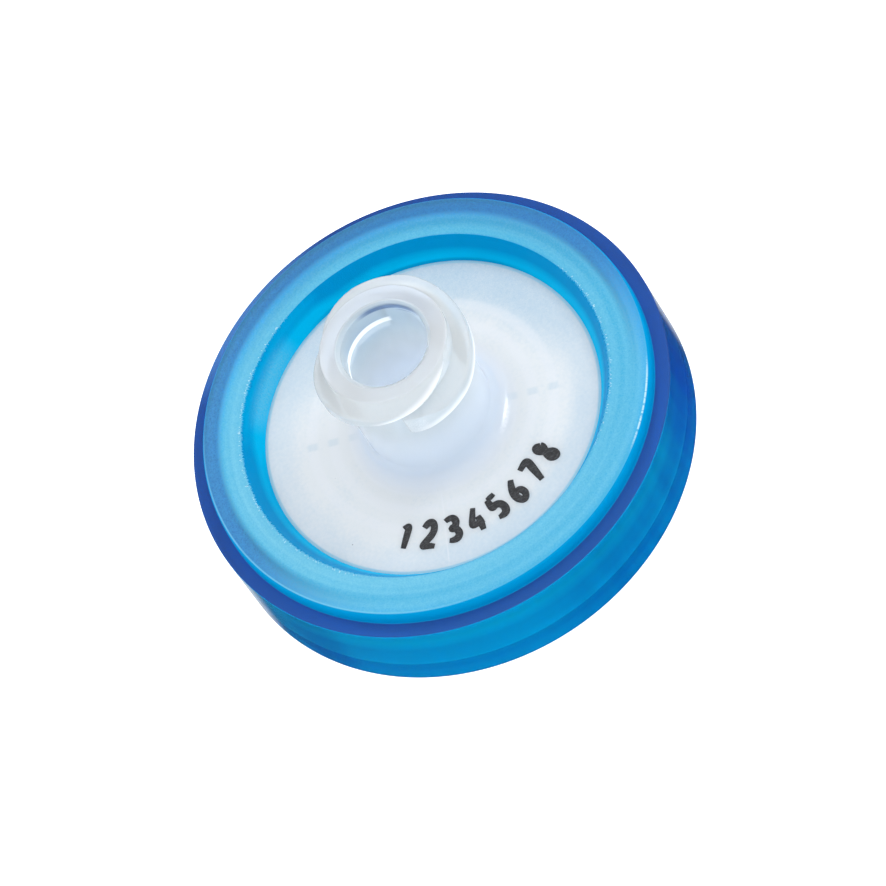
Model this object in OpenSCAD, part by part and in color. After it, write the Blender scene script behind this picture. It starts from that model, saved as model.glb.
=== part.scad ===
// Syringe filter: two clear shells that clamp a round membrane, held together by a ring
// moulded over their edge. The inlet is a lock hub with two helical lugs, and the outlet
// is a slip nozzle. The origin is the middle of the nozzle's end face, which the filter
// stands on, and +Z points up the axis, out of the inlet.

/* [Ring] */
// Outer diameter of the ring, at its ledge
ring_d = 23.6; // [20:0.1:32]
// Height of the ring's skirt below the ledge, at the outside
skirt_h = 4.35; // [4.3:0.01:6]
// How much the skirt's radius narrows from the ledge to the bottom
skirt_draft = 0.05; // [0:0.01:0.2]
// Width of the low ledge round the outside
ledge_w = 0.75; // [0.5:0.01:1]
// Height of the land above the ledge
ledge_drop = 0.87; // [0.5:0.01:1.2]
// Width of the flat land
land_w = 1.97; // [1.6:0.01:2.2]
// Width of the slope that leads from the land down to the inlet face
slope_w = 0.76; // [0.3:0.01:1]
// Height of the land above the inlet face
land_rise = 1.23; // [0.8:0.01:1.5]
// Wall of the ring outside the shells
ring_wall = 1.36; // [1:0.01:1.6]
// Width of the ring's flat underside, inside its rounded bottom edge
foot_w = 2.3; // [1.8:0.01:2.6]
// Radius of the ring's bottom edge
foot_round = 0.3; // [0.1:0.01:0.4]
// Radius of the land's outer edge
land_round = 0.16; // [0.05:0.01:0.3]
// Radius of the ledge's outer edge and of the land's inner edge
edge_round = 0.07; // [0.03:0.01:0.1]

/* [Shells] */
// Thickness of the inlet shell's plate
inlet_plate_t = 1.2; // [1:0.01:1.5]
// Thickness of the outlet shell's plate under its channels
outlet_plate_t = 1.1; // [1:0.01:1.5]
// Width of the outlet shell's rim, which the inlet shell closes
rim_w = 1.6; // [1.2:0.01:1.8]
// Height of the inlet shell's clamping ring, which presses on the membrane
clamp_h = 0.45; // [0.35:0.01:0.7]
// Width of the clamping ring
clamp_w = 1.85; // [1:0.01:2.2]
// Clearance between the clamping ring and the outlet shell's rim
fit_gap = 0.05; // [0.02:0.01:0.1]

/* [Membrane] */
// Thickness of the membrane
membrane_t = 0.15; // [0.1:0.01:0.2]
// Clearance between the membrane's edge and the outlet shell's rim
membrane_gap = 0.3; // [0.1:0.01:0.5]

/* [Ribs and channels] */
// Pitch of the round ribs in both shells
rib_pitch = 1.03; // [0.9:0.01:1.3]
// Radius where the first round rib begins
rib_start = 1.62; // [1.4:0.01:2]
// Width of a round rib
rib_w = 0.5; // [0.4:0.01:0.6]
// Height of the inlet shell's ribs
inlet_rib_h = 0.25; // [0.15:0.01:0.3]
// Depth of the outlet shell's channels
channel_h = 0.5; // [0.3:0.01:0.7]
// Width of the radial channels that cross the ribs
channel_w = 0.6; // [0.4:0.01:0.8]
// Number of radial channels in the outlet shell, an even number
outlet_channels = 8; // [4:2:10]
// Number of radial gaps in the inlet shell's ribs, an even number
inlet_channels = 4; // [2:2:6]
// Turn of the first radial channel from +X
channel_turn = 66; // [0:1:90]

/* [Inlet hub] */
// Outer diameter of the hub
hub_d = 6.3; // [6.1:0.01:6.73]
// Height of the hub above the inlet face
hub_h = 7.35; // [6.6:0.01:8.9]
// Radius of the fillet at the hub's foot
hub_fillet = 0.93; // [0.5:0.01:1.1]
// Radius of the rim's outer edge
hub_round = 0.1; // [0.05:0.01:0.14]
// Diameter of the tapered socket at its mouth, inside the lead-in
socket_d = 4.3; // [4.27:0.005:4.315]
// Depth of the tapered socket
socket_depth = 7.9; // [7.5:0.1:8]
// Width of the chamfer that leads into the socket
lead_in = 0.22; // [0.1:0.01:0.25]
// Diameter of the port from the socket to the membrane
port_d = 2; // [1.4:0.1:2.6]

/* [Lugs] */
// Diameter over the two lugs
lug_d = 7.8; // [7.6:0.01:7.83]
// Rise of a lug's helix in one full turn
lug_lead = 5; // [4.8:0.05:5.2]
// Azimuth of the first lug's lower end
lug_end_turn = 248; // [0:1:359]
// Angle of the level stretch at a lug's lower end
lug_level = 58; // [40:1:80]
// Angle of the rising stretch, from the level one to where the lug leaves the rim
lug_rise = 186; // [150:1:190]
// Angle of the rising stretch's upper end, where the lug's diameter runs out
lug_run_out = 37; // [20:1:60]
// Depth of the crest's lower edge below the rim, along the level stretch
lug_depth = 2.4; // [2.2:0.01:3.2]
// Width of a lug's crest
lug_crest_w = 0.7; // [0.3:0.01:0.8]
// Drop of a lug's upper flank from the hub to the crest
lug_upper_flank = 0.65; // [0.3:0.01:0.75]
// Rise of its lower flank from the hub to the crest
lug_lower_flank = 0.35; // [0.2:0.01:0.4]
// Angle at a lug's lower end over which its crest widens upwards
lug_widen = 34; // [20:1:50]
// Drop of the bevel from the rim's edge to the lugs' crests
lug_bevel = 0.45; // [0.2:0.01:0.6]

/* [Outlet nozzle] */
// Length of the nozzle below the outlet face
nozzle_h = 10.55; // [9.6:0.01:13]
// Length of its tapered tip
tip_h = 8.15; // [7.5:0.01:8.6]
// Diameter of the taper at its end
tip_d = 3.96; // [3.925:0.005:3.99]
// Radius of the tip's outer edge
tip_round = 0.12; // [0.05:0.01:0.2]
// Diameter of the collar between the taper and the outlet face
collar_d = 6; // [5.4:0.1:6.6]
// Radius of the collar's lower edge
collar_round = 0.35; // [0.1:0.01:0.5]
// Radius of the fillet where the collar meets the outlet face
collar_fillet = 0.8; // [0.4:0.01:1]
// Diameter of the outlet's bore at the tip
bore_d = 2.2; // [1.8:0.1:2.4]
// Diameter of the outlet's bore where it meets the channels
bore_top_d = 1.7; // [1.4:0.1:1.8]

/* [Hidden] */

$fn = 96;
taper = 0.06;       // change in diameter per unit length of both tapers
spill = 1;          // how far a cutting tool runs past what it cuts
arc_steps = 6;      // straight steps in a rounded edge of a turned outline
lug_step = 5;       // angle between two sections of a lug
lug_arc_steps = 3;  // straight steps in a lug's rounded edges
lug_bury = 0.3;     // how deep a lug's root is set into the hub
lug_round = 0.15;   // radius of a lug's two long edges
lug_bend = 10;      // half the angle over which a lug turns from level to rising
lug_end_round = 0.33;  // how much lower the crest is at a lug's lower end
lug_end_angle = 22;    // angle over which the crest drops to that end
lug_flat = 0.5;     // how far the crest's upper edge rises at that end

// Levels, from the nozzle's end face up
z_outlet_face = nozzle_h;
z_channel = z_outlet_face + outlet_plate_t;
z_support = z_channel + channel_h;
z_membrane = z_support + membrane_t;
z_inlet_under = z_membrane + clamp_h;
z_inlet_face = z_inlet_under + inlet_plate_t;
z_land = z_inlet_face + land_rise;
z_ledge = z_land - ledge_drop;
z_foot = z_ledge - skirt_h;
z_rim = z_inlet_face + hub_h;
z_collar = tip_h;

// Radii, from the outside in
ring_r = ring_d / 2;
land_r = ring_r - ledge_w;
slope_r = land_r - land_w;
window_r = slope_r - slope_w;
foot_r = ring_r - skirt_draft;
foot_inner_r = foot_r - foot_round - foot_w;
shell_r = ring_r - ring_wall;
pocket_r = shell_r - rim_w;
membrane_r = pocket_r - membrane_gap;
clamp_r = pocket_r - fit_gap;
chamber_r = clamp_r - clamp_w;
hub_r = hub_d / 2;
socket_r = socket_d / 2;
crest_r = lug_d / 2;
tip_r = tip_d / 2;
collar_r = collar_d / 2;

function arc(centre, r, from, to, steps = arc_steps) =
    [for (i = [0:steps]) let (a = from + (to - from) * i / steps)
        centre + r * [cos(a), sin(a)]];

function limit(x, low, high) = max(low, min(high, x));

// Concave fillet round a stem of radius r that rises from the level z = 0
module foot_fillet(r, f) {
    rotate_extrude() translate([r, 0]) difference() {
        square(f);
        translate([f, f]) circle(f);
    }
}

// Round ribs from first_r out to last_r, of height h, crossed by radial channels
module round_ribs(first_r, last_r, h, channels) {
    count = floor((last_r - first_r + rib_pitch - rib_w) / rib_pitch);
    difference() {
        for (i = [0:count - 1]) {
            inner = first_r + i * rib_pitch;
            difference() {
                cylinder(h = h, r = inner + rib_w);
                translate([0, 0, -spill]) cylinder(h = h + 2 * spill, r = inner);
            }
        }
        for (i = [0:channels / 2 - 1])
            rotate(channel_turn + i * 360 / channels)
                translate([-last_r, -channel_w / 2, -spill])
                    cube([2 * last_r, channel_w, h + 2 * spill]);
    }
}

// Height of a lug above its level stretch, at the angle a from its lower end
function lug_height(a) =
    let (from = limit(a - lug_level + lug_bend, 0, 2 * lug_bend))
    lug_lead / 360 * (from * from / (4 * lug_bend) + max(0, a - lug_level - lug_bend));

// Radius of a lug's crest at the angle a: full, but less at both ends
function lug_radius(a) =
    crest_r
    - lug_end_round * pow(limit(1 - a / lug_end_angle, 0, 1), 2)
    - (crest_r - hub_r) * limit(1 - (lug_level + lug_rise - a) / lug_run_out, 0, 1);

// Section of a lug as [radius, height] above the lower edge of its full crest. Both flanks
// keep their place where the crest, at radius r, is lower. The upper one starts extra higher.
function lug_section(r, extra) =
    let (reach = crest_r - hub_r, root = hub_r - lug_bury,
         low = lug_lower_flank / reach, high = (lug_upper_flank - extra) / reach,
         z_low = -low * (crest_r - r), z_high = lug_crest_w + extra + high * (crest_r - r),
         turn_low = atan(low), turn_high = atan(high))
    concat(
        [[root, z_low - low * (r - root)]],
        arc([r - lug_round, z_low - low * lug_round + lug_round / cos(turn_low)],
            lug_round, turn_low - 90, 0, lug_arc_steps),
        arc([r - lug_round, z_high + high * lug_round - lug_round / cos(turn_high)],
            lug_round, 0, 90 - turn_high, lug_arc_steps),
        [[root, z_high + high * (r - root)]]);

// One lug: level at its lower end, then a right-handed helix up to the rim
module lug() {
    span = lug_level + lug_rise;
    steps = ceil(span / lug_step);
    count = len(lug_section(crest_r, 0));
    sections = [for (i = [0:steps])
        let (a = span * i / steps, extra = lug_flat * limit(2 * (1 - a / lug_widen), 0, 1))
        [for (p = lug_section(lug_radius(a), extra))
            [p.x * cos(a), p.x * sin(a), p.y + lug_height(a)]]];
    points = [for (section = sections) for (p = section) p];
    sides = [for (i = [0:steps - 1]) for (j = [0:count - 1])
        let (k = (j + 1) % count, a = i * count, b = a + count)
        each [[a + j, b + k, b + j], [a + j, a + k, b + k]]];
    first = [for (j = [count - 1:-1:0]) j];
    last = [for (j = [0:count - 1]) steps * count + j];
    polyhedron(points, concat(sides, [first, last]));
}

// Both lugs, trimmed by the bevel at the rim
module lugs() {
    intersection() {
        for (turn = [0, 180])
            rotate(lug_end_turn + turn) translate([0, 0, z_rim - lug_depth]) lug();
        rotate_extrude() polygon([
            [0, z_inlet_face],
            [crest_r + spill, z_inlet_face],
            [crest_r + spill, z_rim - lug_bevel - spill],
            [crest_r, z_rim - lug_bevel],
            [hub_r - hub_round, z_rim],
            [0, z_rim]]);
    }
}

module inlet_shell() {
    color([0.93, 0.96, 0.98, 0.7]) difference() {
        union() {
            translate([0, 0, z_inlet_under]) cylinder(h = inlet_plate_t, r = shell_r);
            translate([0, 0, z_inlet_face]) foot_fillet(hub_r, hub_fillet);
            rotate_extrude() polygon(concat(
                [[0, z_inlet_under], [hub_r, z_inlet_under]],
                arc([hub_r - hub_round, z_rim - hub_round], hub_round, 0, 90),
                [[0, z_rim]]));
            lugs();
            translate([0, 0, z_membrane]) difference() {
                cylinder(h = clamp_h, r = clamp_r);
                translate([0, 0, -spill]) cylinder(h = clamp_h + spill, r = chamber_r);
            }
            translate([0, 0, z_inlet_under - inlet_rib_h])
                round_ribs(rib_start, chamber_r - rib_w, inlet_rib_h, inlet_channels);
        }
        rotate_extrude() polygon([
            [0, z_rim + spill],
            [socket_r + lead_in, z_rim + spill],
            [socket_r + lead_in, z_rim],
            [socket_r, z_rim - lead_in],
            [socket_r - taper / 2 * (socket_depth - lead_in), z_rim - socket_depth],
            [port_d / 2, z_rim - socket_depth],
            [port_d / 2, z_inlet_under - spill],
            [0, z_inlet_under - spill]]);
    }
}

module membrane() {
    color("white") translate([0, 0, z_support]) cylinder(h = membrane_t, r = membrane_r);
}

module outlet_shell() {
    color([0.93, 0.96, 0.98, 0.7]) difference() {
        union() {
            translate([0, 0, z_outlet_face]) cylinder(h = outlet_plate_t, r = shell_r);
            translate([0, 0, z_channel]) difference() {
                cylinder(h = z_inlet_under - z_channel, r = shell_r);
                translate([0, 0, channel_h])
                    cylinder(h = z_inlet_under, r = pocket_r);
                translate([0, 0, -spill]) cylinder(h = z_inlet_under, r = chamber_r);
            }
            translate([0, 0, z_channel])
                round_ribs(rib_start, chamber_r - rib_w, channel_h,
                    outlet_channels);
            translate([0, 0, z_outlet_face]) mirror([0, 0, 1])
                foot_fillet(collar_r, collar_fillet);
            rotate_extrude() polygon(concat(
                [[0, z_channel], [0, 0]],
                arc([tip_r - tip_round, tip_round], tip_round, -90, 0),
                [[tip_r + taper / 2 * tip_h, z_collar]],
                arc([collar_r - collar_round, z_collar + collar_round], collar_round, -90, 0),
                [[collar_r, z_channel]]));
        }
        translate([0, 0, -spill]) cylinder(
            h = z_channel + 2 * spill,
            d1 = bore_d,
            d2 = bore_top_d);
    }
}

module seal_ring() {
    color([0.1, 0.55, 0.85, 0.8]) rotate_extrude() polygon(concat(
        [[shell_r, z_outlet_face], [shell_r, z_inlet_face], [window_r, z_inlet_face]],
        arc([slope_r + edge_round / 2, z_land - edge_round], edge_round, 143, 90),
        arc([land_r - land_round, z_land - land_round], land_round, 90, 0),
        [[land_r, z_ledge]],
        arc([ring_r - edge_round, z_ledge - edge_round], edge_round, 90, 0),
        arc([foot_r - foot_round, z_foot + foot_round], foot_round, 0, -90),
        [[foot_inner_r, z_foot],
         [foot_inner_r - (z_outlet_face - z_foot) / 2, z_outlet_face]]));
}

inlet_shell();
membrane();
outlet_shell();
seal_ring();
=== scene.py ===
"""Looks of a syringe filter: a blue ring moulded round two milky shells and a membrane.

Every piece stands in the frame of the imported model: the origin is the middle of the nozzle's
end face and +Z points up the filter's axis, out of the inlet. Sizes here are in millimetres
and angles in degrees unless a comment says otherwise, and a mesh is scaled to metres last.
A pattern is placed by its azimuth, radius and height, so that it stays on the object.
"""

import logging
import math
import random
from dataclasses import dataclass, field
from enum import Enum
from functools import cached_property, partialmethod
from typing import Callable, Optional, Union

import bmesh
import bpy
from mathutils import Matrix, Vector


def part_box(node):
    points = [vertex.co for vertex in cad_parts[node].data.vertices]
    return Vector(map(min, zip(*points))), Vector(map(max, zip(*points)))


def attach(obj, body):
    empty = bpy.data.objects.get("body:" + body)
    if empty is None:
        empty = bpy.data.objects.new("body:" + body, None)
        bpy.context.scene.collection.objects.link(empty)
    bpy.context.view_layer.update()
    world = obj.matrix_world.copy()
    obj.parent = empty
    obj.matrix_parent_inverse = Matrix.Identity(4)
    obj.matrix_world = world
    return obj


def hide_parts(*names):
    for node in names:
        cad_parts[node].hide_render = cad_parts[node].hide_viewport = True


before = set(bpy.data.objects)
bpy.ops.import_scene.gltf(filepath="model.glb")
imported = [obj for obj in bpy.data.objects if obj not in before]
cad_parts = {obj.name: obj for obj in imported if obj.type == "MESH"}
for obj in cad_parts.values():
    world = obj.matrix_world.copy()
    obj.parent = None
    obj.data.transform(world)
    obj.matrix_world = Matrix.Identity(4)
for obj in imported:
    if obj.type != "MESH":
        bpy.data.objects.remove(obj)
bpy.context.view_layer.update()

MM = 0.001
BODY = "root"
TURN = 360.0
PLASTIC_IOR = 1.49
BLACK = (0.0, 0.0, 0.0)
WHITE = (1.0, 1.0, 1.0)

log = logging.getLogger("syringe_filter")

Colour = tuple[float, float, float]
Span = tuple[float, float, float]  # low and high value, and half the width of each border
Patches = tuple[tuple[float, Span], ...]  # the weight and span of each patch
Number = Union[float, "Signal"]
Socket = bpy.types.NodeSocket
Stroke = list[tuple[int, int]]  # the points of one line of the pen


def limit(value: float, low: float, high: float) -> float:
    """Keep a value between two bounds."""
    return max(low, min(high, value))


def smooth_step(value: float, low: float, high: float) -> float:
    """Rise smoothly from 0 at low to 1 at high."""
    share = limit((value - low) / (high - low), 0.0, 1.0)
    return share * share * (3 - 2 * share)


def smooth_min(first: float, second: float, blend: float) -> float:
    """Take the smaller of two lengths, with a round transition of the given width."""
    share = limit(0.5 + 0.5 * (second - first) / blend, 0.0, 1.0)
    return second + (first - second) * share - blend * share * (1 - share)


def smooth_max(first: float, second: float, blend: float) -> float:
    """Take the larger of two lengths, with a round transition of the given width."""
    return -smooth_min(-first, -second, blend)


def compass(point: Vector) -> float:
    """Azimuth of a point in degrees."""
    return math.degrees(math.atan2(point.y, point.x))


# ---------------------------------------------------------------- shader maths


class Signal:
    """A number that varies over a surface, with operators that add Math nodes."""

    def __init__(self, board: "Board", socket: Socket) -> None:
        """Wrap one output socket of a board."""
        self.board = board
        self.socket = socket

    def _join(self, operation: str, other: Number) -> "Signal":
        """Add a Math node on this and another number."""
        return self.board.math(operation, self, other)

    __add__ = __radd__ = partialmethod(_join, "ADD")
    __mul__ = __rmul__ = partialmethod(_join, "MULTIPLY")
    __sub__ = partialmethod(_join, "SUBTRACT")
    __truediv__ = partialmethod(_join, "DIVIDE")
    __pow__ = partialmethod(_join, "POWER")

    def __rsub__(self, other: Number) -> "Signal":
        """Subtract from a number."""
        return self.board.math("SUBTRACT", other, self)

    def __abs__(self) -> "Signal":
        """Drop the sign."""
        return self.board.math("ABSOLUTE", self)

    def step(self, low: float, high: float) -> "Signal":
        """Rise smoothly between two values.

        Args:
            low: Where the step is 0.
            high: Where it is 1. It may lie below low, and then the step falls.

        Returns:
            The step.
        """
        if low > high:
            return 1.0 - self.step(high, low)
        return self.board.signal(
            "ShaderNodeMapRange",
            dict(interpolation_type="SMOOTHSTEP"),
            {0: self, 1: low, 2: high, 3: 0.0, 4: 1.0},
        )

    def band(self, low: float, high: float, soft: float) -> "Signal":
        """Give 1 between two values and 0 outside them, with soft borders."""
        return self.step(low - soft, low + soft) * self.step(high + soft, high - soft)


def weigh(mark: Callable[[float, float, float], Signal], patches: Patches) -> Signal:
    """Add up patches, each with its own weight, that mark places by their spans."""
    return sum(weight * mark(*span) for weight, span in patches)


class Board:
    """The node tree of a material or of the surroundings, with short ways to add nodes."""

    AXIS_GUARD = 0.01

    def __init__(self, owner: Union[bpy.types.Material, bpy.types.World, str]) -> None:
        """Start an empty tree.

        Args:
            owner: Whose tree it is, or the name of a new material.
        """
        self.owner = bpy.data.materials.new(owner) if isinstance(owner, str) else owner
        self.owner.use_nodes = True
        self.tree = self.owner.node_tree
        self.tree.nodes.clear()

    def add(
        self, kind: str, settings: Optional[dict] = None, values: Optional[dict] = None
    ) -> bpy.types.Node:
        """Add one node.

        Args:
            kind: The node's type.
            settings: Properties of the node, set before its sockets.
            values: What goes into each socket, by name or index.

        Returns:
            The node.
        """
        node = self.tree.nodes.new(kind)
        for key, value in (settings or {}).items():
            setattr(node, key, value)
        for key, value in (values or {}).items():
            self.feed(node.inputs[key], value)
        return node

    def feed(self, socket: Socket, value: object) -> None:
        """Fill an input.

        Args:
            socket: The input.
            value: A signal or socket to link, or the input's own value.
        """
        if isinstance(value, Signal):
            self.tree.links.new(value.socket, socket)
        elif isinstance(value, Socket):
            self.tree.links.new(value, socket)
        elif isinstance(value, tuple) and socket.type == "RGBA":
            socket.default_value = (*value, 1.0)
        else:
            socket.default_value = value

    def signal(
        self,
        kind: str,
        settings: Optional[dict] = None,
        values: Optional[dict] = None,
        output: Union[int, str] = 0,
    ) -> Signal:
        """Add one node as add() does, and wrap one of its outputs."""
        return Signal(self, self.add(kind, settings, values).outputs[output])

    def math(self, operation: str, *values: Number) -> Signal:
        """Add a Math node on up to three numbers."""
        return self.signal("ShaderNodeMath", dict(operation=operation), dict(enumerate(values)))

    def vector(self, operation: str, *values: object) -> Socket:
        """Add a Vector Math node on up to three vectors, and return the resulting vector."""
        settings = dict(operation=operation)
        return self.add("ShaderNodeVectorMath", settings, dict(enumerate(values))).outputs[0]

    def split(self, vector: Socket) -> list[Signal]:
        """Take a vector apart into its three components."""
        node = self.add("ShaderNodeSeparateXYZ", None, {0: vector})
        return [Signal(self, socket) for socket in node.outputs]

    @cached_property
    def coordinates(self) -> Socket:
        """The surface point in millimetres in the filter's frame."""
        point = self.add("ShaderNodeTexCoord").outputs["Object"]
        return self.vector("MULTIPLY", point, (1 / MM, 1 / MM, 1 / MM))

    @cached_property
    def _axes(self) -> list[Signal]:
        """The surface point's three coordinates."""
        return self.split(self.coordinates)

    @cached_property
    def radius(self) -> Signal:
        """The surface point's distance from the axis."""
        x, y, _ = self._axes
        return (x * x + y * y) ** 0.5

    @cached_property
    def azimuth(self) -> Signal:
        """The surface point's azimuth, from -180 to 180."""
        x, y, _ = self._axes
        return self.math("ARCTAN2", y, x) * math.degrees(1)

    @cached_property
    def height(self) -> Signal:
        """The surface point's height above the nozzle's end."""
        return self._axes[2]

    @cached_property
    def _outward(self) -> Socket:
        """The level direction away from the axis, of length 1."""
        return self.vector("NORMALIZE", self.vector("MULTIPLY", self.coordinates, (1.0, 1.0, 0.0)))

    @cached_property
    def upward(self) -> Signal:
        """How far the surface faces up, from -1 to 1."""
        return self.split(self.add("ShaderNodeTexCoord").outputs["Normal"])[2]

    def along(self, azimuth: float) -> Signal:
        """Measure how far the surface point lies from the axis towards an azimuth.

        Args:
            azimuth: The azimuth.

        Returns:
            The distance, below 0 on the other side.
        """
        angle = math.radians(azimuth)
        return self.signal(
            "ShaderNodeVectorMath",
            dict(operation="DOT_PRODUCT"),
            {0: self.coordinates, 1: (math.cos(angle), math.sin(angle), 0.0)},
            "Value",
        )

    def off_line(self, azimuth: float) -> Signal:
        """Distance from the upright plane through the axis at an azimuth."""
        return abs(self.along(azimuth + TURN / 4))

    def sector(self, low: float, high: float, soft: float) -> Signal:
        """Mark the stretch between two azimuths.

        Args:
            low: The first azimuth.
            high: The last one.
            soft: Half the width of each soft border.

        Returns:
            1 between them and 0 elsewhere.
        """
        half = (high - low) / 2
        cosine = self.along((low + high) / 2) / (self.radius + self.AXIS_GUARD)
        ends = (limit(half + soft, 0.0, TURN / 2), limit(half - soft, 0.0, TURN / 2))
        return cosine.step(*(math.cos(math.radians(end)) for end in ends))

    def specks(self, pitch: float, size: float, share: float) -> Signal:
        """Scatter small round specks through the plastic.

        Args:
            pitch: Mean distance between places for a speck.
            size: Radius of a speck.
            share: Share of the places that hold one.

        Returns:
            1 on a speck and 0 elsewhere.
        """
        node = self.add(
            "ShaderNodeTexVoronoi", None, {"Vector": self.coordinates, "Scale": 1 / pitch}
        )
        near = Signal(self, node.outputs["Distance"]).step(size / pitch, 0.5 * size / pitch)
        chance = self.signal("ShaderNodeSeparateColor", None, {0: node.outputs["Color"]})
        return near * chance.step(share, share - 0.01)

    def noise(
        self,
        scale: float,
        detail: float = 2.0,
        stretch: Optional[Colour] = None,
        point: Optional[Socket] = None,
    ) -> Signal:
        """Add a noise.

        Args:
            scale: Features per millimetre.
            detail: Number of finer layers.
            stretch: Factors on the three axes, for a noise with a grain.
            point: Where the noise is read, if not at the surface point.

        Returns:
            The noise, from about 0.2 to 0.8.
        """
        point = point or self.coordinates
        if stretch is not None:
            point = self.add("ShaderNodeMapping", None, {0: point, "Scale": stretch}).outputs[0]
        values = {"Vector": point, "Scale": scale, "Detail": detail}
        return self.signal("ShaderNodeTexNoise", None, values)

    def turned_noise(self, along: float, across: float, detail: float = 2.0) -> Signal:
        """Add a noise on azimuth, radius and height, so that it runs round without a seam.

        Args:
            along: Features for each degree of turn.
            across: Features for each millimetre of radius or height.
            detail: Number of finer layers.

        Returns:
            The noise, from about 0.2 to 0.8.
        """
        layer = self.add("ShaderNodeCombineXYZ", None, {2: (self.radius + self.height) * across})
        turn = math.degrees(along)
        point = self.vector("MULTIPLY_ADD", self._outward, (turn, turn, 0.0), layer.outputs[0])
        return self.noise(1.0, detail, point=point)

    def mix(self, share: Number, first: object, second: object) -> Socket:
        """Mix two colours by a share, and return the resulting colour."""
        settings = dict(data_type="RGBA", clamp_factor=True)
        return self.add("ShaderNodeMix", settings, {0: share, 6: first, 7: second}).outputs[2]

    def paint(self, base: object, *layers: tuple[Number, object]) -> Socket:
        """Lay colours over a first one.

        Args:
            base: The first colour.
            *layers: The share and the colour of each layer, from the lowest up.

        Returns:
            The resulting colour.
        """
        for share, colour in layers:
            base = self.mix(share, base, colour)
        return base

    def bump(self, height: Signal, depth: float) -> Socket:
        """Turn a height signal from 0 to 1 into a normal, for marks of that depth."""
        values = {"Strength": 1.0, "Distance": depth * MM, "Height": height}
        return self.add("ShaderNodeBump", None, values).outputs[0]

    def principled(self, values: dict) -> Socket:
        """Add the main shader with these socket values, and return the shader."""
        return self.add("ShaderNodeBsdfPrincipled", None, values).outputs[0]

    def mix_shader(self, share: Signal, first: Socket, second: Socket) -> Socket:
        """Mix two shaders by a share."""
        return self.add("ShaderNodeMixShader", None, {0: share, 1: first, 2: second}).outputs[0]

    def finish(
        self,
        surface: Socket,
        volume: Optional[Socket] = None,
        output: str = "ShaderNodeOutputMaterial",
    ) -> Union[bpy.types.Material, bpy.types.World]:
        """Join the shaders to the output.

        Args:
            surface: The surface's shader.
            volume: The volume's shader, if there is one.
            output: The output node's type.

        Returns:
            The material or the surroundings.
        """
        node = self.add(output, None, {"Surface": surface})
        if volume is not None:
            self.feed(node.inputs["Volume"], volume)
        return self.owner


# ---------------------------------------------------------------- meshes


def place(name: str, data: bpy.types.ID) -> bpy.types.Object:
    """Put an object in the scene.

    Args:
        name: The object's name.
        data: Its mesh, curve, light or camera.

    Returns:
        The object.
    """
    result = bpy.data.objects.new(name, data)
    bpy.context.scene.collection.objects.link(result)
    return result


def place_mesh(
    name: str, shape: bmesh.types.BMesh, material: bpy.types.Material
) -> bpy.types.Object:
    """Make a mesh object in the scene.

    Args:
        name: The object's name.
        shape: Its mesh in metres, which is used up.
        material: Its finish.

    Returns:
        The object.
    """
    mesh = bpy.data.meshes.new(name)
    shape.to_mesh(mesh)
    shape.free()
    mesh.materials.append(material)
    return place(name, mesh)


@dataclass
class Outline:
    """A closed section that is turned about the axis, as radius and height."""

    hold: float = 0.03
    long_stretch: float = 0.18
    wedge_doublings: int = 4
    weld: float = 1e-4
    sharp: float = 32.0
    points: list[Vector] = field(default_factory=list)

    def to(self, *points: tuple[float, float]) -> "Outline":
        """Draw straight lines to one point after another."""
        self.points += [Vector((radius, 0.0, height)) for radius, height in points]
        return self

    def arc(
        self, radius: float, height: float, size: float, start: float, stop: float, steps: int = 6
    ) -> "Outline":
        """Draw an arc.

        Args:
            radius: Radius of its centre.
            height: Height of its centre.
            size: Its own radius.
            start: Where it starts, from the outward direction.
            stop: Where it stops.
            steps: Number of straight steps in it.

        Returns:
            The outline.
        """
        for step in range(steps + 1):
            angle = math.radians(start + (stop - start) * step / steps)
            self.to((radius + size * math.cos(angle), height + size * math.sin(angle)))
        return self

    def rows(self, radius: float, low: float, high: float, count: int) -> "Outline":
        """Draw a straight upright line as a number of rows."""
        return self.to(*((radius, low + (high - low) * row / count) for row in range(count + 1)))

    def held(self) -> list[Vector]:
        """Hold the corners of every long straight stretch.

        Returns:
            The points, with one more near each end of such a stretch.
        """
        result = []
        for here, there in zip(self.points, self.points[1:] + self.points[:1]):
            result.append(here)
            run = there - here
            if run.length > self.long_stretch:
                shift = run.normalized() * self.hold
                result += [here + shift, there - shift]
        return result

    def turned(self, steps: int) -> bmesh.types.BMesh:
        """Spin the section once round the axis, as a wedge that is doubled again and again.

        Args:
            steps: Number of flats in the full turn.

        Returns:
            A closed mesh with its sharp edges marked.
        """
        shape = bmesh.new()
        verts = [shape.verts.new(point) for point in self.held()]
        edges = [shape.edges.new(pair) for pair in zip(verts, verts[1:] + verts[:1])]
        wedges = 2**self.wedge_doublings
        bmesh.ops.spin(
            shape,
            geom=verts + edges,
            axis=(0, 0, 1),
            angle=math.radians(TURN) / wedges,
            steps=steps // wedges,
        )
        for doubling in range(self.wedge_doublings, 0, -1):
            geom = shape.verts[:] + shape.edges[:] + shape.faces[:]
            copied = bmesh.ops.duplicate(shape, geom=geom)["geom"]
            bmesh.ops.rotate(
                shape,
                matrix=Matrix.Rotation(math.radians(TURN) / 2**doubling, 3, "Z"),
                verts=[item for item in copied if isinstance(item, bmesh.types.BMVert)],
            )
        bmesh.ops.remove_doubles(shape, verts=shape.verts[:], dist=self.weld)
        bmesh.ops.recalc_face_normals(shape, faces=shape.faces[:])
        for face in shape.faces:
            face.smooth = True
        for edge in shape.edges:
            edge.smooth = edge.calc_face_angle(0.0) < math.radians(self.sharp)
        return shape


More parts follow.
